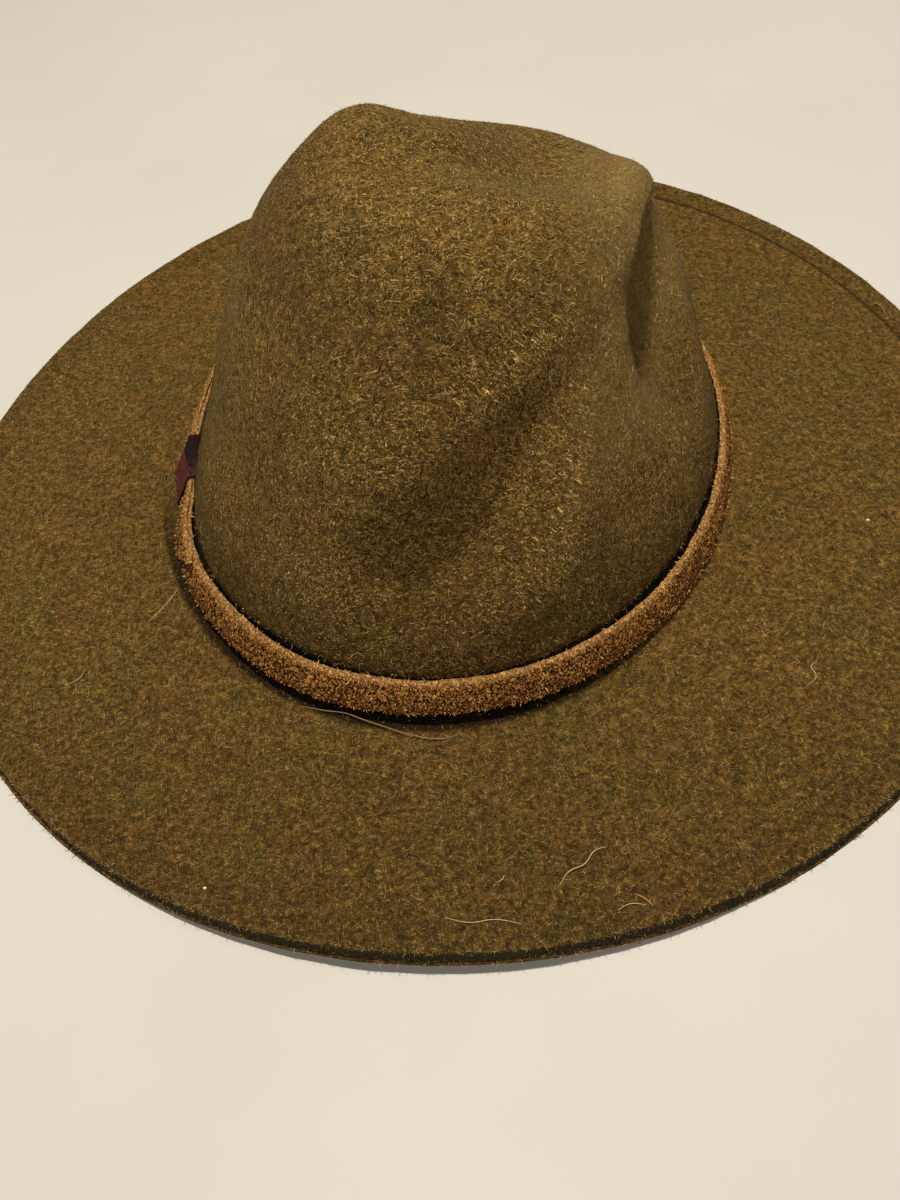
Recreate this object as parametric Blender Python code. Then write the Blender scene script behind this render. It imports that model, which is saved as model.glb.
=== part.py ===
"""A worn, wide-brimmed felt hat with a suede strap round its crown, lying on its brim.

Metres, +Z up, +Y toward the hat's front, +X toward the wearer's right. The origin is on
the surface that the hat lies on, under the middle of its brim.
"""
import math

import bmesh
import bpy

# Felt body: sizes of the inside and underside, from which the felt grows outward.
HEAD_LENGTH = 0.1930
HEAD_WIDTH = 0.1600
HEAD_SHIFT_RIGHT = -0.0029
HEAD_SHIFT_FRONT = 0.0022
CROWN_HEIGHT = 0.1050
BRIM_LENGTH = 0.3290
BRIM_WIDTH = 0.3270
FELT = 0.0024
BREAK_HEIGHT = 0.0058
BREAK_SLOPE = 0.0035
BRIM_LIFT = 0.0070

# Strap, the strip behind it and the keeper.
CLEARANCE = 0.0003
BACKING_THICKNESS = 0.0008
BACKING_SHOWS = 0.0014
STRAP_THICKNESS = 0.0018
STRAP_WIDTH = 0.0090
STRAP_ABOVE_BRIM = 0.0012
STRAP_LAP_BEARINGS = (166.0, 213.0)
STRAP_STEP_BEARING = 30.0
TAIL_SLANT_BEARING = 6.0
KEEPER_THICKNESS = 0.0010
KEEPER_WIDTH = 0.0180
KEEPER_BEARING = 191.0

# Resolution of the felt: columns round the head, rings up the crown and out on the brim.
COLUMNS = 72
CROWN_RINGS = 27
BRIM_RINGS = 9
KEEPER_COLUMNS = 5

# Steeper edges than this many degrees stay crisp.
CRISP_ANGLE = 50.0

# Steps in which a height's place in the crown's table is closed in on.
HALVINGS = 40

# Blocked crown, from the break up: rise is a share of CROWN_HEIGHT, side of half the head
# width, back and front of half the head length, right of half the head width.
SECTION_COLUMNS = ("rise", "side", "back", "front", "right")
CROWN_SECTIONS = (
    (0.00, 1.03, 1.03, 1.03, 0.000),
    (0.05, 1.00, 1.00, 1.00, 0.000),
    (0.21, 0.92, 0.93, 0.93, 0.017),
    (0.42, 0.82, 0.85, 0.80, 0.045),
    (0.63, 0.72, 0.77, 0.66, 0.055),
    (0.79, 0.63, 0.68, 0.50, 0.080),
    (0.88, 0.58, 0.59, 0.38, 0.115),
    (0.95, 0.47, 0.47, 0.28, 0.100),
    (0.988, 0.29, 0.30, 0.18, 0.055),
    (1.00, 0.00, 0.00, 0.00, 0.020),
)

# Shares of CROWN_HEIGHT between which the crown passes from round, held by the strap, to
# freely dented.
HELD_RISE = 0.12
FREE_RISE = 0.28

# Dents and folds worked into the crown: place and reach are shares of half the head width
# (x), half the head length (y) and CROWN_HEIGHT (z); turn is the turn of the dent's own
# axes about Z and tilt the rise of its own X, in degrees; narrow is the share of its
# distance from the middle that the wall is drawn in sideways; front and up are pushes, as
# shares of CROWN_HEIGHT.
DENT_COLUMNS = (
    "x", "y", "z", "reach_x", "reach_y", "reach_z", "turn", "tilt", "narrow", "front", "up")
CROWN_DENTS = {
    "top_hollow": (0.40, 0.10, 0.95, 0.44, 0.46, 0.48, -35, 0, 0.00, 0.00, -0.17),
    "front_slope": (0.15, 0.66, 1.00, 0.90, 0.75, 0.60, 0, 0, 0.00, 0.00, -0.12),
    "low_middle_top": (0.02, 0.16, 1.00, 0.60, 0.60, 0.40, 0, 0, 0.00, 0.00, -0.04),
    "shoulder_left": (-0.35, 0.02, 0.88, 0.25, 0.60, 0.38, 0, 0, 0.116, 0.00, 0.00),
    "peak_left": (-0.214, 0.12, 1.00, 0.235, 0.45, 0.30, 0, 0, 0.00, 0.00, 0.017),
    "dip_beside_peak": (-0.011, 0.18, 0.97, 0.18, 0.45, 0.30, 0, 0, 0.00, 0.00, -0.025),
    "low_right_top": (0.75, 0.10, 1.00, 0.60, 0.70, 0.40, 0, 0, -0.02, 0.00, -0.02),
    "pinch_right": (0.74, -0.17, 0.60, 0.31, 0.45, 0.36, 90, -38, 0.29, 0.00, 0.00),
    "bulge_front_right": (0.80, 0.40, 0.42, 0.32, 0.50, 0.40, 90, -15, -0.065, 0.00, 0.00),
    "pinch_left": (-0.64, 0.26, 0.66, 0.30, 0.50, 0.38, 90, -25, 0.22, 0.00, 0.00),
    "slack_across_back": (0.17, -0.80, 0.49, 0.72, 0.50, 0.18, 0, 37, 0.02, 0.075, 0.00),
    "fold_over_slack": (-0.02, -0.80, 0.66, 0.55, 0.50, 0.17, 0, 37, 0.00, -0.020, 0.00),
    "bulge_low_right": (0.40, -0.84, 0.33, 0.45, 0.50, 0.14, 0, 30, -0.02, -0.022, 0.00),
}

# Brim: out is the share of the way from the break to the edge, height the share of the
# break's height, lift the share of the edge's lift.
BRIM_COLUMNS = ("out", "height", "lift")
BRIM_SECTIONS = (
    (0.00, 1.00, 0.00),
    (0.04, 0.96, 0.00),
    (0.12, 0.84, 0.02),
    (0.30, 0.55, 0.12),
    (0.50, 0.28, 0.33),
    (0.70, 0.08, 0.58),
    (0.84, 0.00, 0.78),
    (0.93, 0.00, 0.91),
    (1.00, 0.00, 1.00),
)

# Where the brim's edge stands off the surface: lift is a share of BRIM_LIFT.
LIFT_COLUMNS = ("bearing", "spread", "lift")
EDGE_LIFTS = {
    "front": (93.0, 72.0, 1.00),
    "back": (-92.0, 42.0, 0.66),
    "back_right": (-58.0, 45.0, 0.16),
}

# Where the strap stands off the crown: out is a share of STRAP_THICKNESS.
WAVE_COLUMNS = ("bearing", "spread", "out")
STRAP_WAVES = {
    "corner_back_left": (244.0, 20.0, 0.70),
    "slack_back_right": (318.0, 44.0, 0.45),
}


def table_row(columns, row):
    return dict(zip(columns, row))


def smooth_row(rows, place):
    """Row of a table read at a share of the way down it, on a curve through its rows."""
    scaled = place * (len(rows) - 1)
    index = min(int(scaled), len(rows) - 2)
    step = scaled - index
    before = rows[max(index - 1, 0)]
    start, end = rows[index], rows[index + 1]
    after = rows[min(index + 2, len(rows) - 1)]
    return [
        0.5 * (2 * b + (c - a) * step + (2 * a - 5 * b + 4 * c - d) * step ** 2
               + (3 * b - a - 3 * c + d) * step ** 3)
        for a, b, c, d in zip(before, start, end, after)
    ]


def bell(distance_squared):
    """One at the middle of a dent, falling smoothly to nothing at its reach."""
    return max(0.0, 1.0 - distance_squared) ** 2


def break_height(bearing):
    """Height of the break's underside: higher at the front than at the back."""
    return BREAK_HEIGHT + BREAK_SLOPE * math.sin(bearing)


def turned(first, second, degrees):
    """Two coordinates read along axes that are turned by an angle."""
    angle = math.radians(degrees)
    return (first * math.cos(angle) + second * math.sin(angle),
            second * math.cos(angle) - first * math.sin(angle))


def dent_shift(x, y, z):
    """Sum of what all dents do to a point of the crown, given in shares."""
    shift = {"narrow": 0.0, "front": 0.0, "up": 0.0}
    share = min(max((z - HELD_RISE) / (FREE_RISE - HELD_RISE), 0.0), 1.0)
    freedom = share * share * (3 - 2 * share)
    for values in CROWN_DENTS.values():
        dent = table_row(DENT_COLUMNS, values)
        own_x, own_y = turned(x - dent["x"], y - dent["y"], dent["turn"])
        own_x, own_z = turned(own_x, z - dent["z"], dent["tilt"])
        amount = bell((own_x / dent["reach_x"]) ** 2
                      + (own_y / dent["reach_y"]) ** 2
                      + (own_z / dent["reach_z"]) ** 2)
        for name in shift:
            shift[name] += amount * dent[name] * freedom
    return shift


def crown_point(bearing, place, grow=0.0):
    """Point of the crown's inner face at a bearing and a share of the way up its table."""
    section = table_row(SECTION_COLUMNS, smooth_row(CROWN_SECTIONS, place))
    end = section["front"] if math.sin(bearing) > 0 else section["back"]
    x = section["right"] + section["side"] * math.cos(bearing)
    y = end * math.sin(bearing)
    shift = dent_shift(x, y, section["rise"])
    slant = math.hypot(math.cos(bearing) / HEAD_WIDTH, math.sin(bearing) / HEAD_LENGTH)
    out_x = math.cos(bearing) / HEAD_WIDTH / slant
    out_y = math.sin(bearing) / HEAD_LENGTH / slant
    return (
        HEAD_SHIFT_RIGHT + x * (1.0 - shift["narrow"]) * HEAD_WIDTH / 2 + grow * out_x,
        HEAD_SHIFT_FRONT + y * HEAD_LENGTH / 2 + shift["front"] * CROWN_HEIGHT + grow * out_y,
        break_height(bearing) + (section["rise"] + shift["up"]) * CROWN_HEIGHT,
    )


def bearing_bells(columns, rows, bearing, column):
    """Sum at a bearing of the bells of a table whose rows have a bearing and a spread."""
    total = 0.0
    for values in rows.values():
        row = table_row(columns, values)
        away = (math.degrees(bearing) - row["bearing"] + 180.0) % 360.0 - 180.0
        total += row[column] * bell((away / row["spread"]) ** 2)
    return total


def edge_lift(bearing):
    return BRIM_LIFT * bearing_bells(LIFT_COLUMNS, EDGE_LIFTS, bearing, "lift")


def brim_point(bearing, place):
    """Point of the brim's underside at a bearing and a share of the way down its table."""
    row = table_row(BRIM_COLUMNS, smooth_row(BRIM_SECTIONS, place))
    inner = crown_point(bearing, 0.0)
    outer = (BRIM_WIDTH / 2 * math.cos(bearing), BRIM_LENGTH / 2 * math.sin(bearing))
    height = break_height(bearing) * row["height"] + edge_lift(bearing) * row["lift"]
    return (
        inner[0] + (outer[0] - inner[0]) * row["out"],
        inner[1] + (outer[1] - inner[1]) * row["out"],
        max(height, 0.0),
    )


def material(name, colour, roughness):
    made = bpy.data.materials.new(name)
    made.use_nodes = True
    shader = made.node_tree.nodes["Principled BSDF"]
    shader.inputs["Base Color"].default_value = (*colour, 1.0)
    shader.inputs["Roughness"].default_value = roughness
    shader.inputs["Metallic"].default_value = 0.0
    return made


def add_object(name, mesh_data, finish):
    mesh = bpy.data.meshes.new(name)
    mesh_data.to_mesh(mesh)
    mesh_data.free()
    mesh.materials.append(finish)
    mesh.shade_smooth()
    mesh.set_sharp_from_angle(angle=math.radians(CRISP_ANGLE))
    made = bpy.data.objects.new(name, mesh)
    bpy.context.collection.objects.link(made)
    return made


def join_loops(mesh_data, loops, closed_loop=True, closed_run=False):
    """Quads between each loop of vertices and the next."""
    pairs = list(zip(loops, loops[1:]))
    if closed_run:
        pairs.append((loops[-1], loops[0]))
    for lower, upper in pairs:
        count = len(lower)
        for index in range(count if closed_loop else count - 1):
            following = (index + 1) % count
            mesh_data.faces.new((lower[index], lower[following], upper[following], upper[index]))


def felt_body():
    """Crown and brim as one sheet from the brim's edge to the top, then given its wall."""
    mesh_data = bmesh.new()
    bearings = [2 * math.pi * column / COLUMNS for column in range(COLUMNS)]
    loops = []
    for ring in range(BRIM_RINGS, 0, -1):
        loops.append([mesh_data.verts.new(brim_point(b, ring / BRIM_RINGS)) for b in bearings])
    for ring in range(CROWN_RINGS):
        loops.append([mesh_data.verts.new(crown_point(b, ring / CROWN_RINGS)) for b in bearings])
    join_loops(mesh_data, loops)
    top = mesh_data.verts.new(crown_point(0.0, 1.0))
    last = loops[-1]
    for index in range(COLUMNS):
        mesh_data.faces.new((last[index], last[(index + 1) % COLUMNS], top))
    made = add_object("felt_body", mesh_data, material("wool_felt", (0.115, 0.080, 0.032), 0.95))
    wall = made.modifiers.new("felt_wall", "SOLIDIFY")
    wall.thickness = FELT
    wall.offset = 1.0
    wall.use_quality_normals = True
    return made


def place_at_height(height):
    """Share of the way up the crown's table where its rise is the given height."""
    low, high = 0.0, 1.0
    for _ in range(HALVINGS):
        middle = (low + high) / 2
        if smooth_row(CROWN_SECTIONS, middle)[0] * CROWN_HEIGHT < height:
            low = middle
        else:
            high = middle
    return (low + high) / 2


def wall_face(bearing, height, stand_off):
    """Point that stands off the felt's outer face at a height over the break."""
    return crown_point(bearing, place_at_height(height), FELT + stand_off)


def strip_section(mesh_data, bearing, inner, thickness, low, high, lean=0.0):
    """Four corners of a strip's cross-section; its upper edge leans ahead by an angle."""
    return [
        mesh_data.verts.new(wall_face(bearing, low, inner)),
        mesh_data.verts.new(wall_face(bearing, low, inner + thickness)),
        mesh_data.verts.new(wall_face(bearing + lean, high, inner + thickness)),
        mesh_data.verts.new(wall_face(bearing + lean, high, inner)),
    ]


def strap_low():
    return FELT + STRAP_ABOVE_BRIM


def band_backing():
    """Thin strip that lies on the crown behind the strap and shows above it."""
    mesh_data = bmesh.new()
    low = strap_low()
    high = low + STRAP_WIDTH + BACKING_SHOWS
    loops = [
        strip_section(mesh_data, 2 * math.pi * column / COLUMNS, CLEARANCE,
                      BACKING_THICKNESS, low, high)
        for column in range(COLUMNS)
    ]
    join_loops(mesh_data, loops, closed_run=True)
    bmesh.ops.recalc_face_normals(mesh_data, faces=mesh_data.faces)
    return add_object("band_backing", mesh_data, material("backing_strip", (0.035, 0.038, 0.030), 0.7))


def strap_stand_off(bearing):
    """Room behind the strap for the backing and the keeper's back, and its own waves."""
    wave = STRAP_THICKNESS * bearing_bells(WAVE_COLUMNS, STRAP_WAVES, bearing, "out")
    return BACKING_THICKNESS + KEEPER_THICKNESS + 3 * CLEARANCE + wave


def suede_band():
    """Strap once round the crown, its tail stepping out to lap over its hidden end."""
    mesh_data = bmesh.new()
    start, tail = STRAP_LAP_BEARINGS
    end = tail + 360.0
    count = round((end - start) / 360.0 * COLUMNS)
    low = strap_low()
    high = low + STRAP_WIDTH
    loops = []
    for index in range(count + 1):
        degrees = start + (end - start) * index / count
        step = min(max((degrees - start - 360.0) / STRAP_STEP_BEARING + 1.0, 0.0), 1.0)
        lap = (STRAP_THICKNESS + CLEARANCE) * step * step * (3 - 2 * step)
        lean = TAIL_SLANT_BEARING * max(0.0, 1.0 - (end - degrees) / (2 * TAIL_SLANT_BEARING))
        bearing = math.radians(degrees)
        loops.append(strip_section(mesh_data, bearing, strap_stand_off(bearing) + lap,
                                   STRAP_THICKNESS, low, high, math.radians(lean)))
    join_loops(mesh_data, loops)
    mesh_data.faces.new(loops[0])
    mesh_data.faces.new(loops[-1])
    bmesh.ops.recalc_face_normals(mesh_data, faces=mesh_data.faces)
    return add_object("suede_band", mesh_data, material("rusty_suede", (0.34, 0.12, 0.030), 0.95))


def strap_keeper():
    """Leather loop round both layers of the strap."""
    mesh_data = bmesh.new()
    inner = BACKING_THICKNESS + 2 * CLEARANCE
    room = 2 * STRAP_THICKNESS + 3 * CLEARANCE
    low = strap_low() - CLEARANCE
    high = strap_low() + STRAP_WIDTH + CLEARANCE
    half_turn = KEEPER_WIDTH / HEAD_WIDTH
    shares = [2 * column / (KEEPER_COLUMNS - 1) - 1 for column in range(KEEPER_COLUMNS)]
    bearings = [math.radians(KEEPER_BEARING) + half_turn * share for share in shares]
    loops = []
    for grow in (0.0, KEEPER_THICKNESS):
        for bearing in bearings:
            loops.append(strip_section(mesh_data, bearing, inner + KEEPER_THICKNESS - grow,
                                       room + 2 * grow, low - grow, high + grow))
    inside, outside = loops[:KEEPER_COLUMNS], loops[KEEPER_COLUMNS:]
    join_loops(mesh_data, inside)
    join_loops(mesh_data, outside)
    join_loops(mesh_data, [inside[0], outside[0]])
    join_loops(mesh_data, [inside[-1], outside[-1]])
    bmesh.ops.recalc_face_normals(mesh_data, faces=mesh_data.faces)
    return add_object("strap_keeper", mesh_data, material("burgundy_leather", (0.075, 0.012, 0.018), 0.5))


def main():
    for existing in list(bpy.data.objects):
        bpy.data.objects.remove(existing, do_unlink=True)
    felt_body()
    band_backing()
    suede_band()
    strap_keeper()


main()
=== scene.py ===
"""Looks of a worn, wide-brimmed felt hat with a suede strap, lying on its brim.

Metres, +Z up, +Y toward the hat's front, +X toward the wearer's right.
"""
import math
import random

import bmesh
import bpy
import numpy as np
from mathutils import Matrix, Vector


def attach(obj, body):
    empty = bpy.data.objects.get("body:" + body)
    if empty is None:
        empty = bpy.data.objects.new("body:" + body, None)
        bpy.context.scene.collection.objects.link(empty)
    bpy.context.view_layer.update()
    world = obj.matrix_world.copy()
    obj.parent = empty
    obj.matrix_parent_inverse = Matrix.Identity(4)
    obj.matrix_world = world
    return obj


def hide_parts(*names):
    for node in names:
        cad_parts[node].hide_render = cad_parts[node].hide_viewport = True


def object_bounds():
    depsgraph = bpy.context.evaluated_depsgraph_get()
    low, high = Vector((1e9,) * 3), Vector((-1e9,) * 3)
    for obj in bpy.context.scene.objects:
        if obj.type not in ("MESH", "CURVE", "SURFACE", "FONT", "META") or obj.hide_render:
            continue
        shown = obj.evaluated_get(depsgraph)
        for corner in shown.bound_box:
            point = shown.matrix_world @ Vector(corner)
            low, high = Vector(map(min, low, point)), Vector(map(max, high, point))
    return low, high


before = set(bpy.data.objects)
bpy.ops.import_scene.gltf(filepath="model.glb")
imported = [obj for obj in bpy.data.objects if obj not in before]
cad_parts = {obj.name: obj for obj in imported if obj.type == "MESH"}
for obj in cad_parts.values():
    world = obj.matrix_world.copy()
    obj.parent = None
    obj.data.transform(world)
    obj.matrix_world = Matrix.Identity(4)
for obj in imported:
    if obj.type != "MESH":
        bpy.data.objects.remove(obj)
CAD_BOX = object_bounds()

MM = 0.001

# Half sizes of the brim's oval edge, for patterns that follow it.
BRIM_HALF_WIDTH = CAD_BOX[1].x
BRIM_HALF_LENGTH = CAD_BOX[1].y

# Pressed line round the brim: its place as a share of the way to the edge, half its width
# and its depth.
PRESSED_SHARE = 0.9455
PRESSED_HALF_WIDTH = 1.5 * MM
PRESSED_DEPTH = 0.45 * MM


# Middle of the head opening, and height of the strap's lower edge: its mean and how much
# more at the front.
HEAD_MIDDLE = (-2.9 * MM, 2.2 * MM)
STRAP_FOOT = 9.4 * MM
STRAP_FOOT_RISE = 3.5 * MM
STRAP_HEIGHT = 9.0 * MM


# Middle and half sizes of the oval that the strap makes.
strap_corners_in_cad = [corner.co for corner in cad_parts["suede_band"].data.vertices]
STRAP_LOW = [min(corner[k] for corner in strap_corners_in_cad) for k in range(3)]
STRAP_HIGH = [max(corner[k] for corner in strap_corners_in_cad) for k in range(3)]
STRAP_MIDDLE = [(low + high) / 2 for low, high in zip(STRAP_LOW, STRAP_HIGH)]
STRAP_HALF = [(high - low) / 2 for low, high in zip(STRAP_LOW, STRAP_HIGH)]


def colour(hex_value):
    """Linear colour of an sRGB hex value."""
    channels = [int(hex_value[k:k + 2], 16) / 255 for k in (1, 3, 5)]
    linear = [c / 12.92 if c <= 0.04045 else ((c + 0.055) / 1.055) ** 2.4 for c in channels]
    return (*linear, 1.0)


# ---------------------------------------------------------------- materials

def new_material(name):
    """A material with an empty tree but for its shader and output."""
    made = bpy.data.materials.new(name)
    made.use_nodes = True
    return made, made.node_tree, made.node_tree.nodes["Principled BSDF"]


def add(tree, kind, settings=None, **links):
    """Adds a node: settings are its properties and plain input values, links its inputs."""
    node = tree.nodes.new(kind)
    for key, value in (settings or {}).items():
        if isinstance(key, str) and hasattr(node, key):
            setattr(node, key, value)
        else:
            node.inputs[key].default_value = value
    for key, source in links.items():
        socket = node.inputs[int(key[1:])] if key[1:].isdigit() else node.inputs[key.replace("_", " ")]
        tree.links.new(source, socket)
    return node


def ramp(tree, source, stops):
    """Colour ramp through (place, hex colour) stops."""
    node = tree.nodes.new("ShaderNodeValToRGB")
    elements = node.color_ramp.elements
    while len(elements) < len(stops):
        elements.new(0.5)
    for element, (place, hex_value) in zip(elements, stops):
        element.position = place
        element.color = colour(hex_value)
    tree.links.new(source, node.inputs[0])
    return node.outputs[0]


def spread(tree, source, low, high, to_low=0.0, to_high=1.0):
    """Value read between two ends and clamped."""
    return add(tree, "ShaderNodeMapRange",
               {1: low, 2: high, 3: to_low, 4: to_high, "interpolation_type": "SMOOTHSTEP"},
               i0=source).outputs[0]


def maths(tree, operation, *values):
    """Math node on sockets and plain numbers."""
    node = add(tree, "ShaderNodeMath", {"operation": operation})
    for socket, value in zip(node.inputs, values):
        if isinstance(value, (int, float)):
            socket.default_value = value
        else:
            tree.links.new(value, socket)
    return node.outputs[0]


def blend(tree, factor, first, second, mode="MIX"):
    """Mix of two colours, either of which may be a hex value."""
    node = tree.nodes.new("ShaderNodeMix")
    node.data_type = "RGBA"
    node.blend_type = mode
    for index, value in ((0, factor), (6, first), (7, second)):
        if isinstance(value, str):
            node.inputs[index].default_value = colour(value)
        elif isinstance(value, (int, float)):
            node.inputs[index].default_value = value
        else:
            tree.links.new(value, node.inputs[index])
    return node.outputs[2]


def place_in(tree, turn=(0, 0, 0), scale=(1, 1, 1), centre=(0, 0, 0)):
    """Object coordinates, moved so that centre is the origin, turned, then scaled."""
    coordinates = add(tree, "ShaderNodeTexCoord").outputs["Object"]
    moved = add(tree, "ShaderNodeVectorMath", {"operation": "SUBTRACT", 1: centre}, i0=coordinates)
    turned = add(tree, "ShaderNodeVectorRotate",
                 {"rotation_type": "EULER_XYZ", "Rotation": [math.radians(a) for a in turn]},
                 Vector=moved.outputs[0])
    return add(tree, "ShaderNodeVectorMath", {"operation": "MULTIPLY", 1: scale},
               i0=turned.outputs[0]).outputs[0]


def cloud(tree, size, turn=(0, 0, 0), stretch=(1, 1, 1), detail=2.0, distortion=0.0, roughness=0.5):
    """Noise whose blotches are about size metres across, longer where stretch is over one."""
    scale = [1 / (size * s) for s in stretch]
    return add(tree, "ShaderNodeTexNoise",
               {"Scale": 1.0, "Detail": detail, "Roughness": roughness, "Distortion": distortion},
               Vector=place_in(tree, turn, scale)).outputs["Fac"]


def wisps(tree, width, length, turns):
    """Crossing wisps along several directions: where one is thick and where all are thin."""
    field = [cloud(tree, width, turn, (length / width, 1, 1), 1.0, 0.9) for turn in turns]
    thick, thin = field[0], field[0]
    for wisp in field[1:]:
        thick = maths(tree, "MAXIMUM", thick, wisp)
        thin = maths(tree, "MINIMUM", thin, wisp)
    return thick, thin


def wisps_all_round(tree, width, length):
    """Wisps that lie along the surface whichever way it faces: three sets, one for level
    faces, one for those that face front or back and one for those that face sideways."""
    level = wisps(tree, width, length, [(0, 0, a) for a in WISP_ANGLES])
    front = wisps(tree, width, length, [(0, a, 0) for a in WISP_ANGLES])
    side = wisps(tree, width, length, [(a, 0, -90) for a in WISP_ANGLES])
    facing = add(tree, "ShaderNodeVectorMath", {"operation": "ABSOLUTE"},
                 i0=add(tree, "ShaderNodeNewGeometry").outputs["Normal"]).outputs[0]
    parts = add(tree, "ShaderNodeSeparateXYZ", {}, Vector=facing).outputs
    sideways = spread(tree, maths(tree, "SUBTRACT", parts["X"], parts["Y"]), -0.12, 0.12)
    upright = spread(tree, parts["Z"], 0.62, 0.80)
    both = []
    for flat, ahead, across in zip(level, front, side):
        steep = add(tree, "ShaderNodeMix", {}, i0=sideways, i2=ahead, i3=across).outputs[0]
        both.append(add(tree, "ShaderNodeMix", {}, i0=upright, i2=steep, i3=flat).outputs[0])
    return both


def brim_share(tree):
    """Share of the way out to the brim's oval edge."""
    flat = place_in(tree, scale=(1 / BRIM_HALF_WIDTH, 1 / BRIM_HALF_LENGTH, 0))
    return add(tree, "ShaderNodeVectorMath", {"operation": "LENGTH"}, i0=flat).outputs["Value"]


def upward(tree):
    """One on level upper faces, nothing on upright and lower ones."""
    normal = add(tree, "ShaderNodeNewGeometry").outputs["Normal"]
    return spread(tree, add(tree, "ShaderNodeSeparateXYZ", {}, Vector=normal).outputs["Z"], 0.35, 0.75)


def lit_from_above(tree, amount):
    """Normal tipped upward, as raised nap on a steep face still catches light from above."""
    normal = add(tree, "ShaderNodeNewGeometry").outputs["Normal"]
    height = add(tree, "ShaderNodeSeparateXYZ", {}, Vector=normal).outputs["Z"]
    lift = spread(tree, height, -0.3, 0.1, 0.0, amount)
    up = add(tree, "ShaderNodeCombineXYZ", {}, Z=lift).outputs[0]
    tipped = add(tree, "ShaderNodeVectorMath", {"operation": "ADD"}, i0=normal, i1=up).outputs[0]
    return add(tree, "ShaderNodeVectorMath", {"operation": "NORMALIZE"}, i0=tipped).outputs[0]


def smudge(tree, centre, reach, turn=(0, 0, 0)):
    """One at a point, falling to nothing at its reach along each axis, with a ragged edge."""
    near = place_in(tree, turn, [1 / r for r in reach], centre)
    away = add(tree, "ShaderNodeVectorMath", {"operation": "LENGTH"}, i0=near).outputs["Value"]
    ragged = maths(tree, "ADD", away, maths(tree, "MULTIPLY", cloud(tree, 5 * MM, detail=4.0), 0.9))
    return spread(tree, ragged, 0.45, 1.45, 1.0, 0.0)


# Directions in which the wisps of felt cross on each face, in degrees.
WISP_ANGLES = (12, 74, 138)


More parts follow.
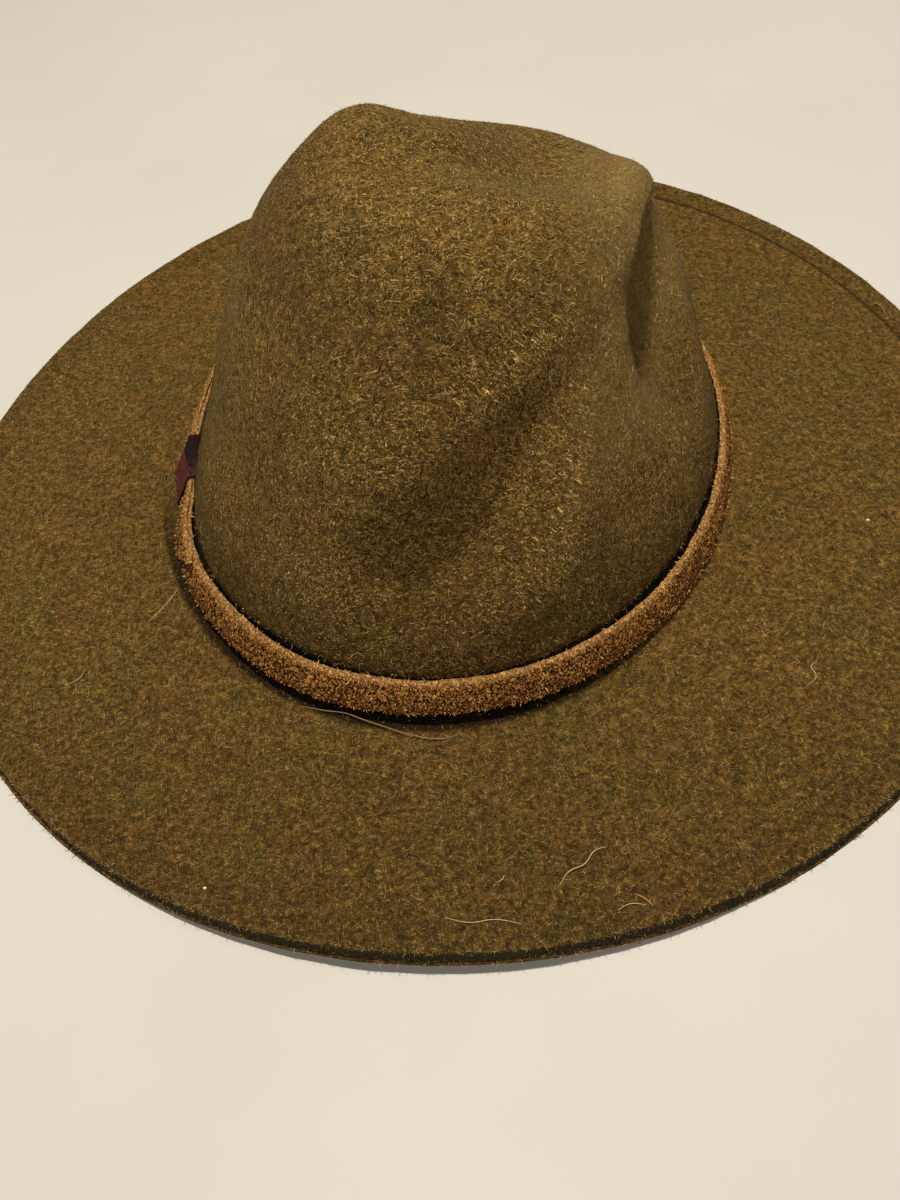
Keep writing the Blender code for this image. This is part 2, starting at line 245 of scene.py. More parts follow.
def felt_material():
    """Wool felt, milled from mixed olive, gold and dark brown wool and not brushed flat:
    dead matt, mottled, with short pale wisps over a dark ground, a crown painted lighter
    on its sides (painted light, partly also wear) and a painted sheen where it is seen
    along the surface."""
    made, tree, shader = new_material("milled wool felt, olive brown")
    ground = ramp(tree, cloud(tree, 2.6 * MM, detail=5.0, roughness=0.7),
                  ((0.34, "#241705"), (0.46, "#463110"), (0.56, "#65491c"), (0.68, "#80602a")))
    tint = ramp(tree, cloud(tree, 26 * MM, detail=3.0),
                ((0.36, "#4e441a"), (0.5, "#5a431a"), (0.66, "#66421c")))
    ground = blend(tree, 0.35, ground, tint)
    clumps = spread(tree, cloud(tree, 1.5 * MM, detail=3.0, roughness=0.6), 0.40, 0.60, 0.55, 1.35)
    ground = add(tree, "ShaderNodeVectorMath", {"operation": "SCALE"}, i0=ground, Scale=clumps).outputs[0]
    # Wisps are 0.32 mm wide and 1.9 mm long: several fibres together, coarser than one.
    thick, thin = wisps_all_round(tree, 0.32 * MM, 1.9 * MM)
    pale = spread(tree, thick, 0.54, 0.70)
    dark = spread(tree, thin, 0.46, 0.33)
    body = blend(tree, maths(tree, "MULTIPLY", dark, 0.56), ground, "#1a1004")
    height = add(tree, "ShaderNodeSeparateXYZ", {}, Vector=place_in(tree)).outputs["Z"]
    level = upward(tree)
    shown = maths(tree, "MULTIPLY", spread(tree, height, 12 * MM, 46 * MM, 0.44, 0.78),
                  spread(tree, level, 0.0, 1.0, 1.0, 0.60))
    body = blend(tree, maths(tree, "MULTIPLY", pale, shown), body, "#b69454")
    # The crown's steep sides, and its top a little, are painted lighter: painted light where raised nap catches
    # light from above, partly also wear from handling.
    worn = maths(tree, "MULTIPLY", spread(tree, height, 12 * MM, 46 * MM),
                 spread(tree, level, 0.0, 1.0, 1.0, 0.0))
    body = add(tree, "ShaderNodeVectorMath", {"operation": "SCALE", "Scale": 1.80}, i0=body).outputs[0]
    lighter = add(tree, "ShaderNodeVectorMath", {"operation": "SCALE", "Scale": 1.22}, i0=body).outputs[0]
    body = blend(tree, worn, body, lighter)
    # Painted sheen: pale where the felt turns away from view, as raised nap catches the light there.
    painted_sheen = spread(tree, add(tree, "ShaderNodeLayerWeight", {"Blend": 0.4}).outputs["Facing"], 0.45, 1.0)
    painted_sheen = maths(tree, "MULTIPLY", painted_sheen, spread(tree, thick, 0.50, 0.66, 0.12, 0.85))
    body = blend(tree, painted_sheen, body, "#a8905c")
    # The zone outside the pressed line is darker; the line itself is painted darkest toward the right and front:
    # painted shade in its groove.
    share = brim_share(tree)
    zone = spread(tree, share, PRESSED_SHARE - 0.004, PRESSED_SHARE + 0.006)
    body = blend(tree, maths(tree, "MULTIPLY", zone, 0.12), body, "#2b1c08")
    ahead_right = add(tree, "ShaderNodeSeparateXYZ", {}, Vector=place_in(tree, (0, 0, -45))).outputs["X"]
    clear = spread(tree, ahead_right, 40 * MM, 125 * MM, 0.10, 0.80)
    off_line = maths(tree, "ABSOLUTE", maths(tree, "SUBTRACT", share, PRESSED_SHARE))
    line = spread(tree, off_line, 0.0, 0.007, 1.0, 0.0)
    body = blend(tree, maths(tree, "MULTIPLY", line, clear), body, "#1c1104")
    cut = maths(tree, "MULTIPLY", spread(tree, share, 0.9935, 0.9965), maths(tree, "SUBTRACT", 1.0, level))
    body = blend(tree, maths(tree, "MULTIPLY", cut, 0.85), body, "#4c4b42")
    # Painted shade: the brim is darker toward the back of the hat.
    across = add(tree, "ShaderNodeSeparateXYZ", {}, Vector=place_in(tree)).outputs
    painted_shade = spread(tree, across["Y"], -150 * MM, -60 * MM, 0.24, 0.0)
    # The foot of the crown is darker too, and the bulge beside the crown's right pinch gets a painted highlight.
    foot = maths(tree, "MULTIPLY", spread(tree, height, 11 * MM, 14 * MM),
                 spread(tree, height, 16 * MM, 38 * MM, 0.30, 0.0))
    body = blend(tree, maths(tree, "MAXIMUM", painted_shade, foot), body, "#1c1206")
    painted_highlight = maths(tree, "MULTIPLY", spread(tree, across["X"], 28 * MM, 52 * MM),
                   spread(tree, height, 42 * MM, 66 * MM, 0.0, 0.42))
    body = blend(tree, painted_highlight, body, "#c0a062")
    # Painted shadow under the strap's near side, where the felt is creased in.
    strap_oval = place_in(tree, scale=[1 / h for h in STRAP_HALF], centre=STRAP_MIDDLE)
    flat = add(tree, "ShaderNodeVectorMath", {"operation": "MULTIPLY", 1: (1, 1, 0)}, i0=strap_oval).outputs[0]
    off_strap = add(tree, "ShaderNodeVectorMath", {"operation": "LENGTH"}, i0=flat).outputs["Value"]
    behind = add(tree, "ShaderNodeVectorMath", {"operation": "DOT_PRODUCT", 1: (-0.31, -0.95, 0)},
                 i0=flat).outputs["Value"]
    painted_shadow = maths(tree, "MULTIPLY", spread(tree, off_strap, 1.008, 1.028, 1.0, 0.0),
                 maths(tree, "MULTIPLY", spread(tree, behind, 0.35, 0.80),
                       spread(tree, height, 9 * MM, 13 * MM, 1.0, 0.0)))
    body = blend(tree, maths(tree, "MULTIPLY", painted_shadow, 0.94), body, "#080502")
    for centre, reach, strength in SMUDGES:
        stain = maths(tree, "MULTIPLY", smudge(tree, centre, reach), strength)
        body = blend(tree, stain, body, "#150f08")
    tree.links.new(body, shader.inputs["Base Color"])
    shader.inputs["Roughness"].default_value = 0.95
    shader.inputs["Specular IOR Level"].default_value = 0.06
    shader.inputs["Sheen Weight"].default_value = 0.14
    shader.inputs["Sheen Roughness"].default_value = 0.4
    shader.inputs["Sheen Tint"].default_value = colour("#a88c54")
    relief = maths(tree, "SUBTRACT", maths(tree, "ADD", pale, cloud(tree, 0.7 * MM)),
                   maths(tree, "MULTIPLY", dark, 0.6))
    bump = add(tree, "ShaderNodeBump", {"Strength": 1.0, "Distance": 0.45 * MM}, Height=relief,
               Normal=lit_from_above(tree, 1.2))
    tree.links.new(bump.outputs[0], shader.inputs["Normal"])
    return made


# Dark marks of grime on the crown: centre, reach along X, Y, Z, and strength.
SMUDGES = (
    ((0.0055, -0.047, 0.096), (0.010, 0.016, 0.012), 0.55),
    ((0.0010, -0.056, 0.087), (0.005, 0.012, 0.013), 0.60),
    ((-0.0140, -0.036, 0.104), (0.009, 0.010, 0.008), 0.35),
    ((0.0170, -0.058, 0.086), (0.006, 0.008, 0.006), 0.35),
    ((0.0230, -0.064, 0.078), (0.006, 0.008, 0.006), 0.35),
)


def suede_material():
    """Split suede, ground to a nap and cut into a strap: matt rust brown with the nap
    lying light and dark in short strokes, its upper half paler, partly raw fibre at the
    cut edge and partly painted highlight, and its lower half darker with painted shade."""
    made, tree, shader = new_material("split suede, rust brown")
    across = add(tree, "ShaderNodeAttribute", {"attribute_name": "across"}).outputs["Fac"]
    # Strokes are 0.5 mm wide and 1.3 mm long, tufts of nap and not single fibres.
    thick, thin = wisps(tree, 0.50 * MM, 1.3 * MM, ((0, 50, 20), (0, 35, 110), (0, -40, 60)))
    light = spread(tree, thick, 0.55, 0.62)
    deep = spread(tree, thin, 0.45, 0.37)
    body = ramp(tree, cloud(tree, 2.4 * MM, detail=4.0, roughness=0.7),
                ((0.36, "#160701"), (0.50, "#4a210a"), (0.66, "#8a4919")))
    body = blend(tree, maths(tree, "MULTIPLY", deep, 0.85), body, "#200b01")
    body = blend(tree, maths(tree, "MULTIPLY", light, 0.90), body, "#d0924a")
    ragged = maths(tree, "ADD", across, maths(tree, "MULTIPLY", cloud(tree, 0.9 * MM, detail=3.0), 0.16))
    # Painted shade darkens the lower half.
    painted_shade = spread(tree, maths(tree, "ADD", ragged, cloud(tree, 7 * MM)), 1.25, 0.45, 0.0, 0.55)
    body = blend(tree, painted_shade, body, "#2c0f05")
    # Paler toward the upper cut edge: raw fibre there, and a painted highlight over the upper half.
    edge = spread(tree, ragged, 0.92, 1.08, 0.0, 0.34)
    body = blend(tree, edge, body, "#e4b472")
    tree.links.new(body, shader.inputs["Base Color"])
    shader.inputs["Roughness"].default_value = 0.95
    shader.inputs["Specular IOR Level"].default_value = 0.08
    shader.inputs["Sheen Weight"].default_value = 0.10
    shader.inputs["Sheen Roughness"].default_value = 0.5
    shader.inputs["Sheen Tint"].default_value = colour("#d08a3c")
    relief = maths(tree, "SUBTRACT", light, deep)
    bump = add(tree, "ShaderNodeBump", {"Strength": 1.0, "Distance": 0.5 * MM}, Height=relief,
               Normal=lit_from_above(tree, 0.45))
    tree.links.new(bump.outputs[0], shader.inputs["Normal"])
    return made


def tape_material():
    """Waxed cotton tape, woven tight and dyed grey green: smooth, with a faint dull
    shine and fine ribs across it."""
    made, tree, shader = new_material("waxed cotton tape, grey green")
    body = ramp(tree, cloud(tree, 1.5 * MM, detail=4.0),
                ((0.3, "#11120c"), (0.55, "#1d1e15"), (0.75, "#303024")))
    tree.links.new(body, shader.inputs["Base Color"])
    worn = spread(tree, cloud(tree, 6 * MM, detail=3.0), 0.3, 0.7, 0.7, 0.9)
    shader.inputs["Specular IOR Level"].default_value = 0.12
    tree.links.new(worn, shader.inputs["Roughness"])
    bump = add(tree, "ShaderNodeBump", {"Strength": 0.3, "Distance": 0.1 * MM},
               Height=cloud(tree, 0.3 * MM, (0, 90, 0), (4, 1, 1)))
    tree.links.new(bump.outputs[0], shader.inputs["Normal"])
    return made


def keeper_material():
    """Chrome-tanned leather, dyed burgundy through and finished with a thin wax: fine
    pebbled grain, a soft shine, and edges darkened by handling."""
    made, tree, shader = new_material("waxed leather, burgundy")
    edge = add(tree, "ShaderNodeAttribute", {"attribute_name": "edge"}).outputs["Fac"]
    body = ramp(tree, cloud(tree, 1.1 * MM, detail=5.0, roughness=0.65),
                ((0.3, "#280c0d"), (0.5, "#562727"), (0.68, "#764540")))
    scuffs = spread(tree, cloud(tree, 0.5 * MM, (0, 0, 60), (6, 1, 1), 3.0), 0.60, 0.75)
    body = blend(tree, maths(tree, "MULTIPLY", scuffs, 0.5), body, "#80544f")
    dark = spread(tree, maths(tree, "ADD", edge, maths(tree, "MULTIPLY", cloud(tree, 0.8 * MM), 0.2)), 0.62, 0.92)
    body = blend(tree, maths(tree, "MULTIPLY", dark, 0.92), body, "#0b0405")
    tree.links.new(body, shader.inputs["Base Color"])
    worn = spread(tree, cloud(tree, 2.0 * MM, detail=3.0), 0.3, 0.7, 0.6, 0.85)
    shader.inputs["Specular IOR Level"].default_value = 0.12
    tree.links.new(worn, shader.inputs["Roughness"])
    grain = add(tree, "ShaderNodeTexVoronoi", {"feature": "SMOOTH_F1", "Scale": 1 / (0.45 * MM)},
                Vector=place_in(tree)).outputs["Distance"]
    bump = add(tree, "ShaderNodeBump", {"Strength": 0.5, "Distance": 0.12 * MM}, Height=grain)
    tree.links.new(bump.outputs[0], shader.inputs["Normal"])
    return made


def fibre_material(name, hex_value, sheen=0.1):
    """Loose wool or hide fibre of one dye, matt with a slight silky edge. One fibre is too
    thin to show a pattern, so its tone comes from its neighbours' being other dyes."""
    made, tree, shader = new_material(name)
    shader.inputs["Base Color"].default_value = colour(hex_value)
    shader.inputs["Roughness"].default_value = 0.8
    shader.inputs["Specular IOR Level"].default_value = 0.1
    shader.inputs["Sheen Weight"].default_value = sheen
    shader.inputs["Sheen Tint"].default_value = colour("#c9a55c")
    return made


# ---------------------------------------------------------------- modelling helpers

def only(piece):
    """Makes one piece the selected and active one."""
    bpy.ops.object.select_all(action="DESELECT")
    piece.select_set(True)
    bpy.context.view_layer.objects.active = piece


def choose(piece, test, kind="FACE"):
    """In edit mode, selects the vertices, edges or faces that pass a test."""
    bpy.ops.mesh.select_mode(type=kind)
    bpy.ops.mesh.select_all(action="DESELECT")
    mesh = bmesh.from_edit_mesh(piece.data)
    parts = {"VERT": mesh.verts, "EDGE": mesh.edges, "FACE": mesh.faces}[kind]
    for part in parts:
        if test(part):
            part.select_set(True)
    mesh.select_flush_mode()
    bmesh.update_edit_mesh(piece.data)


def copy_of_node(node, name):
    """A piece that starts as a CAD node's mesh with its loose triangles joined."""
    piece = bpy.data.objects.new(name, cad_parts[node].data.copy())
    piece.data.name = name
    bpy.context.collection.objects.link(piece)
    piece.data.materials.clear()
    only(piece)
    if piece.data.has_custom_normals:
        bpy.ops.mesh.customdata_custom_splitnormals_clear()
    bpy.ops.object.mode_set(mode="EDIT")
    bpy.ops.mesh.select_all(action="SELECT")
    bpy.ops.mesh.remove_doubles(threshold=0.02 * MM)
    bpy.ops.mesh.tris_convert_to_quads(face_threshold=math.radians(60), shape_threshold=math.radians(80))
    bpy.ops.mesh.mark_sharp(clear=True)
    bpy.ops.object.mode_set(mode="OBJECT")
    return piece


def finish_with(piece, kind, **settings):
    """Adds a modifier with settings and applies it."""
    only(piece)
    modifier = piece.modifiers.new(kind.lower(), kind)
    for key, value in settings.items():
        setattr(modifier, key, value)
    bpy.ops.object.modifier_apply(modifier=modifier.name)


def smooth_out(piece, levels):
    finish_with(piece, "SUBSURF", levels=levels, render_levels=levels)


def roughen(piece, size, depth):
    """Pushes a surface in and out by a soft noise."""
    texture = bpy.data.textures.new("lumps", "CLOUDS")
    texture.noise_scale = size
    texture.noise_depth = 2
    finish_with(piece, "DISPLACE", texture=texture, strength=depth, mid_level=0.5,
                texture_coords="LOCAL")


def finish_piece(piece, material, slot, *nodes):
    piece.data.materials.clear()
    piece.data.materials.append(material)
    only(piece)
    bpy.ops.object.shade_smooth()
    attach(piece, "root")
    if nodes:
        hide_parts(*nodes)
    return piece


def oval_share(point):
    return math.hypot(point.x / BRIM_HALF_WIDTH, point.y / BRIM_HALF_LENGTH)


# ---------------------------------------------------------------- how the pieces settle

def bell(value, middle, reach):
    """One at the middle, falling smoothly to nothing at the reach, for angles in degrees."""
    away = ((value - middle + 180) % 360 - 180) / reach
    return max(0.0, 1 - away * away) ** 2


def ease(value, low, high):
    share = min(max((value - low) / (high - low), 0.0), 1.0)
    return share * share * (3 - 2 * share)


def round_head(point):
    """Bearing in degrees, outward direction and height over the strap's lower edge."""
    x, y = point.x - HEAD_MIDDLE[0], point.y - HEAD_MIDDLE[1]
    angle = math.atan2(y, x)
    over = point.z - STRAP_FOOT - STRAP_FOOT_RISE * math.sin(angle)
    return math.degrees(angle), Vector((math.cos(angle), math.sin(angle), 0)), over


def place_round(point):
    """Distance from the middle of the head, and the sector and half of the strap it is in."""
    bearing, outward, over = round_head(point)
    return (point - Vector((*HEAD_MIDDLE, 0))).dot(outward), (round(bearing / 5), over > STRAP_HEIGHT / 2)


# How near to the middle of the head the strap comes in each sector.
INNERMOST = {}
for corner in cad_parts["suede_band"].data.vertices:
    distance, sector = place_round(corner.co)
    INNERMOST[sector] = min(distance, INNERMOST.get(sector, distance))


def settle(piece, follow=False):
    """Lays the strap's parts as they rest: close round the crown, with a corner at the back
    left, and the left side drawn in, pressed thin and leaning out over the brim's curve."""
    for vertex in piece.data.vertices:
        bearing, outward, over = round_head(vertex.co)
        radius, key = place_round(vertex.co)
        share = over / STRAP_HEIGHT
        leaning = bell(bearing, 192, 48)
        drawn_in = -1.7 * MM * bell(bearing, 184, 50)
        corner = 1.4 * MM * bell(bearing, 226, 22)
        if follow:
            shift = drawn_in + corner + 0.5 * MM * leaning * share
        else:
            shift = 1.4 * drawn_in + corner - 0.8 * MM + 0.9 * MM * leaning * (1 - share)
            shift -= 2.3 * MM * bell(bearing, 209, 19)
            shift -= (radius - INNERMOST.get(key, radius)) * 0.42 * leaning
            # The tail has drawn back toward the keeper.
            vertex.co += Vector((outward.y, -outward.x, 0)) * 9.0 * MM * bell(bearing, 214, 21)
        vertex.co += outward * shift
        vertex.co.z -= 1.0 * MM * leaning * share
        if follow:
            vertex.co.z -= (0.5 + 1.0 * bell(bearing, -96, 80)) * MM * share
        vertex.co.z += 1.0 * MM * bell(bearing, -96, 80) * (1 - 0.6 * share)


# ---------------------------------------------------------------- felt

def felt_hat():
    """Crown and brim: the CAD sheet, with a crisp cut edge and the pressed line added."""
    hat = copy_of_node("felt_body", "felt_hat")
    bpy.ops.object.mode_set(mode="EDIT")
    # The brim's cut edge: both of its corners get a small round.
    choose(hat, lambda f: abs(f.normal.z) < 0.5 and oval_share(f.calc_center_median()) > 0.985)
    bpy.ops.mesh.region_to_loop()
    bpy.ops.mesh.bevel(offset=0.45 * MM, segments=2, affect="EDGES")
    # The pressed line follows the ring of the upper face that lies nearest to it.
    choose(hat, lambda e: all(abs(oval_share(v.co) - PRESSED_SHARE) < 0.006 for v in e.verts)
           and sum(f.normal.z for f in e.link_faces) > 1.0, "EDGE")
    bpy.ops.mesh.bevel(offset=PRESSED_HALF_WIDTH, segments=2, affect="EDGES")
    near_line = PRESSED_HALF_WIDTH / 2 / BRIM_HALF_WIDTH
    choose(hat, lambda v: abs(oval_share(v.co) - PRESSED_SHARE) < near_line
           and v.normal.z > 0.5, "VERT")
    bpy.ops.transform.translate(value=(0, 0, -PRESSED_DEPTH))
    bpy.ops.object.mode_set(mode="OBJECT")
    smooth_out(hat, 2)
    # The tight strap makes the felt above it swell out over the tape, and the brim's edge
    # has loosened and grown thicker.
    normals = [vertex.normal.copy() for vertex in hat.data.vertices]
    for vertex, normal in zip(hat.data.vertices, normals):
        bearing, outward, over = round_head(vertex.co)
        share = oval_share(vertex.co)
        under = bell(bearing, -96, 80)
        if normal.z > 0.3 and over < 1.0 * MM and share < 0.8:
            near_strap = ease(share, 0.50, 0.545) * (1 - ease(share, 0.60, 0.70))
            vertex.co.z -= 1.4 * MM * under * near_strap
        if share < 0.66:
            drawn_in = -1.7 * MM * bell(bearing, 184, 50) * ease(over, -4 * MM, 0.0)
            shift = drawn_in * (1 - ease(over, 14 * MM, 46 * MM))
            if normal.dot(outward) > 0.2:
                swell = ease(over, 8.4 * MM, 10.0 * MM) * (1 - ease(over, 14 * MM, 40 * MM))
                shift += swell * MM * (1.4 - 1.4 * bell(bearing, 184, 40) + 1.3 * bell(bearing, 224, 28)
                                       + 0.7 * bell(bearing, -96, 70))
            vertex.co += outward * shift
        elif share > 0.9 and normal.z < 0.2:
            vertex.co.z -= min(1.6 * MM, max(vertex.co.z - 0.2 * MM, 0)) * ease(share, 0.93, 0.99)
            vertex.co += outward * 1.1 * MM * ease(share, 0.985, 0.995) * ease(-normal.z, -0.2, 0.5)
    roughen(hat, 9 * MM, 0.55 * MM)
    roughen(hat, 2.6 * MM, 0.16 * MM)
    return finish_piece(hat, felt_material(), "wool_felt", "felt_body")


# ---------------------------------------------------------------- strap

def mark_across(piece):
    """Stores for each vertex whether it lies in the strap's upper half (one) or its lower half (zero)."""
    places = np.array([v.co for v in piece.data.vertices])
    tilt = np.linalg.lstsq(np.c_[places[:, 1], np.ones(len(places))], places[:, 2], rcond=None)[0]
    attribute = piece.data.attributes.new("across", "FLOAT", "POINT")
    for vertex in piece.data.vertices:
        middle = tilt[0] * vertex.co.y + tilt[1]
        attribute.data[vertex.index].value = float(vertex.co.z > middle)


def suede_strap():
    """The strap: corners softened, then subdivided until its nap can be pushed up."""
    strap = copy_of_node("suede_band", "suede_strap")
    mark_across(strap)
    settle(strap)
    bpy.ops.object.mode_set(mode="EDIT")
    bpy.ops.mesh.select_all(action="SELECT")
    bpy.ops.mesh.subdivide(number_cuts=2, smoothness=0.0)
    bpy.ops.object.mode_set(mode="OBJECT")
    finish_with(strap, "BEVEL", width=0.35 * MM, segments=2, limit_method="ANGLE",
                angle_limit=math.radians(50))
    smooth_out(strap, 2)
    roughen(strap, 14 * MM, 0.6 * MM)
    roughen(strap, 2.2 * MM, 0.35 * MM)
    roughen(strap, 0.9 * MM, 0.40 * MM)
    return finish_piece(strap, suede_material(), "rusty_suede", "suede_band")


def backing_tape():
    tape = copy_of_node("band_backing", "backing_tape")
    settle(tape, follow=True)
    bpy.ops.object.mode_set(mode="EDIT")
    bpy.ops.mesh.select_all(action="SELECT")
    bpy.ops.mesh.subdivide(number_cuts=1, smoothness=0.0)
    bpy.ops.object.mode_set(mode="OBJECT")
    finish_with(tape, "BEVEL", width=0.2 * MM, segments=2, limit_method="ANGLE",
                angle_limit=math.radians(50))
    smooth_out(tape, 1)
    return finish_piece(tape, tape_material(), "backing_strip", "band_backing")


def leather_keeper():
    """The loop round both strap layers, with rounded edges and a slight cushion."""
    keeper = copy_of_node("strap_keeper", "leather_keeper")
    settle(keeper)
    finish_with(keeper, "BEVEL", width=0.45 * MM, segments=3, limit_method="ANGLE",
                angle_limit=math.radians(50))
    bpy.ops.object.mode_set(mode="EDIT")
    bpy.ops.mesh.select_all(action="SELECT")
    bpy.ops.mesh.subdivide(number_cuts=1, smoothness=0.0)
    bpy.ops.object.mode_set(mode="OBJECT")
    smooth_out(keeper, 1)
    places = np.array([v.co for v in keeper.data.vertices])
    middle = (places.max(0) + places.min(0)) / 2
    half = (places.max(0) - places.min(0)) / 2
    attribute = keeper.data.attributes.new("edge", "FLOAT", "POINT")
    for vertex in keeper.data.vertices:
        along = abs(vertex.co.y - middle[1]) / half[1]
        up = abs(vertex.co.z - middle[2]) / half[2]
        attribute.data[vertex.index].value = max(along, up) ** 3
    roughen(keeper, 4 * MM, 0.25 * MM)
    return finish_piece(keeper, keeper_material(), "burgundy_leather", "strap_keeper")


# ---------------------------------------------------------------- loose fibres

def lay_fibres(name, source, count, seed, allowed, length, width, lift, tones, lean=None):
    """Many short flat fibres rooted in a piece's skin, each bent once and tapered.

    Each fibre is a ribbon of one quad and one triangle, so that tens of thousands stay light.
    """
    chance = random.Random(seed)
    mesh = source.data
    mesh.calc_loop_triangles()
    skin = [t for t in mesh.loop_triangles if allowed(t, mesh)]
    areas = np.cumsum([t.area for t in skin])
    vertices, faces, slots = [], [], []
    for _ in range(count):
        triangle = skin[min(int(np.searchsorted(areas, chance.random() * areas[-1])), len(skin) - 1)]
        a, b, c = (mesh.vertices[k].co for k in triangle.vertices)
        u, v = sorted((chance.random(), chance.random()))
        normal = triangle.normal
        root = a * u + b * (v - u) + c * (1 - v) - normal * 0.15 * MM
        side = normal.orthogonal().normalized()
        heading = Matrix.Rotation(chance.random() * math.tau, 3, normal) @ side
        if lean is not None:
            heading = (heading + lean(root, normal)).normalized()
            heading = (heading - normal * heading.dot(normal)).normalized()
        across = normal.cross(heading).normalized() * width * chance.uniform(0.6, 1.2) / 2
        reach = length * chance.uniform(0.5, 1.4)
        rise = math.radians(lift * chance.uniform(0.2, 1.6))
        bend = Matrix.Rotation(math.radians(chance.uniform(-35, 35)), 3, normal)
        middle = root + heading * reach * 0.5 * math.cos(rise) + normal * reach * 0.5 * math.sin(rise)
        tip_way = bend @ heading
        tip = middle + tip_way * reach * 0.5 * math.cos(rise * 0.3) + normal * reach * 0.5 * math.sin(rise * 0.3)
        first = len(vertices)
        vertices += [root - across, root + across, middle + across * 0.8, middle - across * 0.8, tip]
        for vertex in vertices[first:]:
            vertex.z = max(vertex.z, 0.1 * MM)
        faces += [(first, first + 1, first + 2, first + 3), (first + 3, first + 2, first + 4)]
        tone = chance.choices(range(len(tones)), [share for _, share in tones])[0]
        slots += [tone, tone]
    made = bpy.data.meshes.new(name)
    made.from_pydata([tuple(v) for v in vertices], [], faces)
    piece = bpy.data.objects.new(name, made)
    bpy.context.collection.objects.link(piece)
    for tone_material, _ in tones:
        made.materials.append(tone_material)
    made.polygons.foreach_set("material_index", slots)
    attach(piece, "root")
    return piece


def middle_of(triangle, mesh):
    a, b, c = (mesh.vertices[k].co for k in triangle.vertices)
    return (a + b + c) / 3


def crown_outside(triangle, mesh):
    point = middle_of(triangle, mesh)
    if oval_share(point) > 0.66 or point.z < 10 * MM:
        return False
    away = Vector((point.x, point.y, (point.z - 60 * MM) * 1.5))
    return triangle.normal.dot(away) > 0


def brim_top(triangle, mesh):
    point = middle_of(triangle, mesh)
    return oval_share(point) > 0.56 and point.z < 26 * MM and triangle.normal.z > 0.3


def strap_outside(triangle, mesh):
    point = middle_of(triangle, mesh)
    return triangle.normal.x * point.x + triangle.normal.y * point.y > 0 or triangle.normal.z > 0.5


def strap_corners(triangle, mesh):
    """The outer face's upper and lower rims."""
    across = sum(mesh.attributes["across"].data[k].value for k in triangle.vertices) / 3
    point = middle_of(triangle, mesh)
    faces_out = triangle.normal.x * point.x + triangle.normal.y * point.y > 0.02
    return faces_out and (0.90 < across < 0.995 or across < 0.06)


def brim_edge(triangle, mesh):
    point = middle_of(triangle, mesh)
    return oval_share(point) > 0.990 and triangle.normal.z > 0.1


hat = felt_hat()
strap = suede_strap()
tape = backing_tape()
keeper = leather_keeper()

wool_tones = (
    (fibre_material("wool fibre, straw", "#a8854a"), 0.34),
    (fibre_material("wool fibre, gold brown", "#6e4e20"), 0.40),
    (fibre_material("wool fibre, dark brown", "#1c1003"), 0.26),
)
# The crown's fibres are a shade lighter than the brim's: partly wear, partly painted light.
crown_tones = (
    (fibre_material("worn wool fibre, pale straw", "#ae9058"), 0.30),
    (fibre_material("worn wool fibre, gold", "#7c5e2c"), 0.40),
    (fibre_material("worn wool fibre, brown", "#241704"), 0.30),
)
lay_fibres("crown_nap", hat, 58000, 11, crown_outside, 2.2 * MM, 0.16 * MM, 13, crown_tones)
lay_fibres("brim_nap", hat, 60000, 12, brim_top, 1.6 * MM, 0.14 * MM, 10, wool_tones)
edge_tones = (
    (fibre_material("frayed wool fibre, pale", "#a08c62"), 0.6),
    (wool_tones[1][0], 0.4),
)
lay_fibres("brim_edge_fray", hat, 6500, 13, brim_edge, 1.1 * MM, 0.14 * MM, 34, edge_tones)
hide_tones = (
    (fibre_material("suede nap, pale", "#ecb064"), 0.36),
    (fibre_material("suede nap, rust", "#a85f24"), 0.26),
    (fibre_material("suede nap, deep brown", "#1a0901"), 0.38),
)
lay_fibres("strap_nap", strap, 12000, 14, strap_outside, 1.1 * MM, 0.26 * MM, 24, hide_tones)
lay_fibres("strap_edge_fray", strap, 4200, 15, strap_corners, 1.0 * MM, 0.16 * MM, 46,
           ((hide_tones[0][0], 0.8), (hide_tones[1][0], 0.2)))


# Threads, hairs and bits that lie on the hat: points right and front of the middle in
# millimetres, half thickness and how high the middle of each arches off the felt.
LOOSE_THREADS = {
    "thread_by_strap": (
        ((-37, -96.5), (-30, -98), (-24, -99), (-19, -101), (-14, -102.8), (-6, -105.4), (2, -106.3),
         (6, -104.8)), 0.16, 1.0, "dark"),
    "hair_front_left": (((32.6, -145.9), (34.6, -142.8), (38.4, -140.6), (40.7, -137.0), (43.4, -135.6)),
                        0.10, 0.8, "pale"),
    "hair_long_near": (((6.5, -155.0), (12.4, -156.2), (18.1, -155.2), (24.0, -155.9)), 0.09, 0.4, "pale"),
    "hair_short_near": (((45.8, -151.6), (48.5, -150.2), (52.0, -150.1)), 0.09, 0.4, "pale"),
    "straw_bit": (((49.6, -147.4), (51.8, -148.7), (53.6, -150.4)), 0.22, 0.2, "straw"),
    "bit_far_right": (((138.2, 74.1), (140.6, 72.0), (142.3, 67.3)), 0.16, 0.8, "straw"),
    "hair_by_keeper": (((-85.6, -69.0), (-82.5, -65.5), (-80.2, -61.3), (-79.3, -57.0)), 0.08, 1.2, "pale"),
    "curl_near": (((18.0, -145.9), (19.2, -145.2), (19.7, -143.8)), 0.10, 0.5, "pale"),
    "curl_left": (((-104.5, -90.0), (-101.0, -88.4), (-100.2, -84.9)), 0.09, 0.5, "pale"),
    "curl_right": (((96.0, -88.0), (98.4, -85.6), (97.6, -82.2), (99.4, -80.4)), 0.09, 0.5, "pale"),
    "curl_far": (((60.0, 121.0), (64.2, 122.2), (67.0, 119.6)), 0.09, 0.5, "pale"),
}
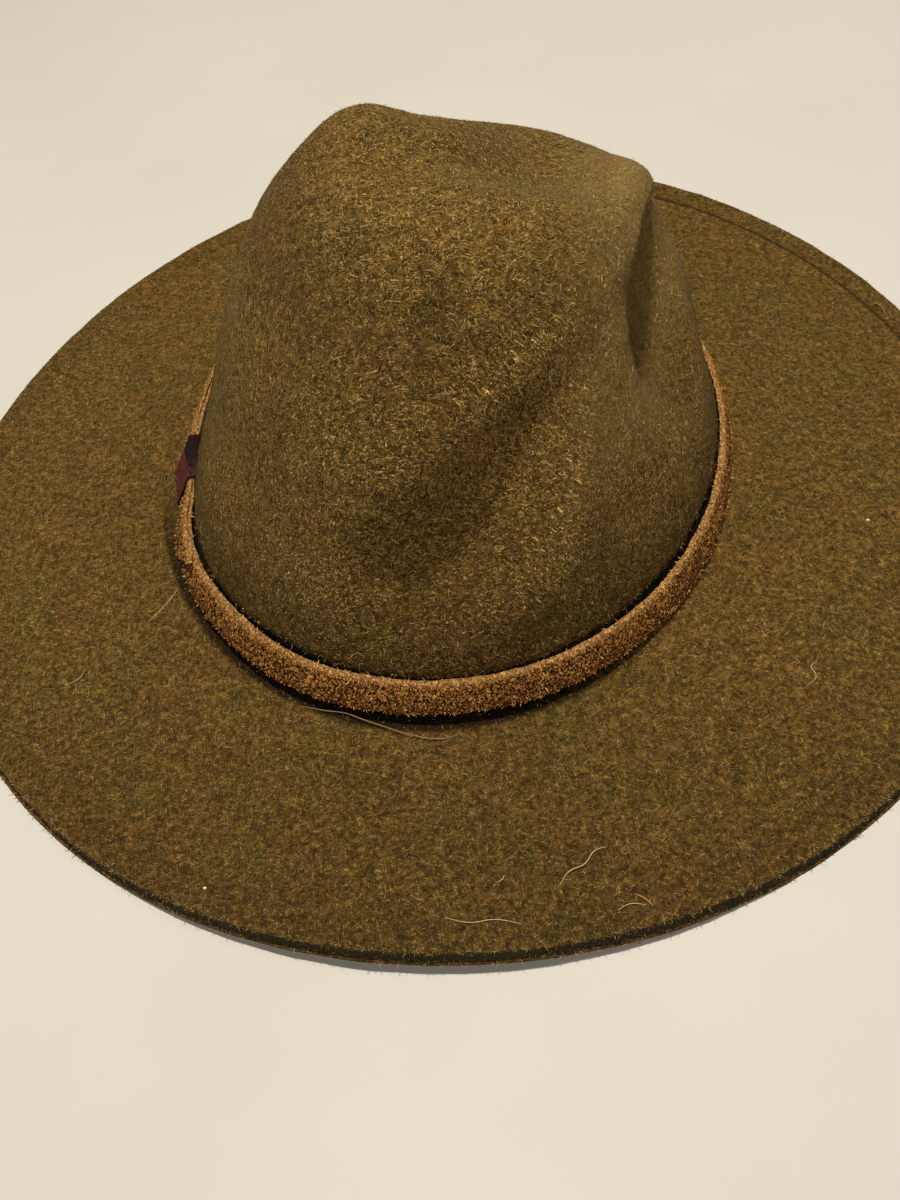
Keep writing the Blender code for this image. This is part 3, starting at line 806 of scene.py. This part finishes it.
LINT_SPECKS = ((-51.3, -149.3), (120.5, -29.8))


def felt_height(source, x, y):
    """Height of the hat's upper side under a point."""
    hit, place, _, _ = source.ray_cast(Vector((x, y, 0.2)), Vector((0, 0, -1)))
    return place.z if hit else 0.0


def lay_thread(name, source, points, half_thick, arch, material):
    """A thread laid along points on the felt, its middle arched off it and its ends down."""
    curve = bpy.data.curves.new(name, "CURVE")
    curve.dimensions = "3D"
    curve.bevel_depth = half_thick * MM
    curve.bevel_resolution = 1
    curve.resolution_u = 6
    line = curve.splines.new("BEZIER")
    line.bezier_points.add(len(points) - 1)
    for index, (x, y) in enumerate(points):
        x, y = x * MM, y * MM
        rise = math.sin(math.pi * index / (len(points) - 1)) * arch + half_thick
        knot = line.bezier_points[index]
        knot.co = (x, y, felt_height(source, x, y) + rise * MM)
        knot.handle_left_type = knot.handle_right_type = "AUTO"
        knot.radius = 0.6 if index in (0, len(points) - 1) else 1.0
    piece = bpy.data.objects.new(name, curve)
    bpy.context.collection.objects.link(piece)
    only(piece)
    bpy.ops.object.convert(target="MESH")
    piece = bpy.context.active_object
    return finish_piece(piece, material, "wool_felt")


def lay_specks(source, material):
    """Specks of lint: small squashed balls pressed into the felt."""
    for index, (x, y) in enumerate(LINT_SPECKS):
        bpy.ops.object.select_all(action="DESELECT")
        height = felt_height(source, x * MM, y * MM)
        bpy.ops.mesh.primitive_ico_sphere_add(subdivisions=2, radius=0.45 * MM,
                                              location=(x * MM, y * MM, height + 0.1 * MM))
        speck = bpy.context.active_object
        speck.name = f"lint_speck_{index}"
        speck.scale = (1.0 + 0.2 * index, 0.7, 0.5)
        bpy.ops.object.transform_apply(location=True, rotation=True, scale=True)
        finish_piece(speck, material, "wool_felt")


thread_materials = {
    # The dark sewing thread is given a mid brown: its highlight painted into its colour.
    "dark": fibre_material("twisted sewing thread, dark brown with painted highlight", "#8a7250"),
    "pale": fibre_material("loose wool hair, pale", "#cdbb8c"),
    "straw": fibre_material("dry grass, straw", "#a8763c"),
}
for name, (points, half_thick, arch, kind) in LOOSE_THREADS.items():
    lay_thread(name, hat, points, half_thick, arch, thread_materials[kind])
lay_specks(hat, fibre_material("cotton lint", "#e4dcc8"))


# ---------------------------------------------------------------- floor, light, camera

def floor():
    bpy.ops.object.select_all(action="DESELECT")
    bpy.ops.mesh.primitive_plane_add(size=6.0)
    plane = bpy.context.active_object
    plane.name = "floor"
    made, tree, shader = new_material("pale matt board")
    body = ramp(tree, cloud(tree, 120 * MM, detail=4.0), ((0.3, "#c6c1b6"), (0.7, "#cbc6bb")))
    tree.links.new(body, shader.inputs["Base Color"])
    shader.inputs["Roughness"].default_value = 0.7
    plane.data.materials.append(made)


def lamp(name, bearing, height, distance, size, power, tint):
    """A square soft light that faces the hat from a bearing and a height in degrees."""
    light = bpy.data.lights.new(name, "AREA")
    light.energy = power
    light.size = size
    light.color = colour(tint)[:3]
    made = bpy.data.objects.new(name, light)
    bpy.context.collection.objects.link(made)
    away = Vector((math.cos(math.radians(bearing)) * math.cos(math.radians(height)),
                   math.sin(math.radians(bearing)) * math.cos(math.radians(height)),
                   math.sin(math.radians(height))))
    made.location = away * distance
    made.rotation_euler = away.to_track_quat("Z", "Y").to_euler()


floor()
lamp("key", 103, 84, 1.6, 0.12, 26.5, "#fffaf0")
lamp("front", 258, 50, 1.6, 0.5, 6, "#fffaf0")
lamp("side", 12, 54, 1.6, 0.4, 3, "#fff8ec")
sky = bpy.data.worlds.new("studio")
sky.use_nodes = True
sky.node_tree.nodes["Background"].inputs["Color"].default_value = colour("#f4efe6")
sky.node_tree.nodes["Background"].inputs["Strength"].default_value = 0.06
bpy.context.scene.world = sky
bpy.context.scene.view_settings.view_transform = "Standard"

view = bpy.data.cameras.new("camera")
view.lens = 33.0
view.sensor_width = 36.0
view.clip_start = 0.01
camera = bpy.data.objects.new("camera", view)
bpy.context.collection.objects.link(camera)
camera.location = (0.0347, -0.2552, 0.2455)
camera.rotation_euler = [math.radians(a) for a in (39.097, 4.744, 4.015)]
bpy.context.scene.camera = camera

bpy.context.view_layer.update()
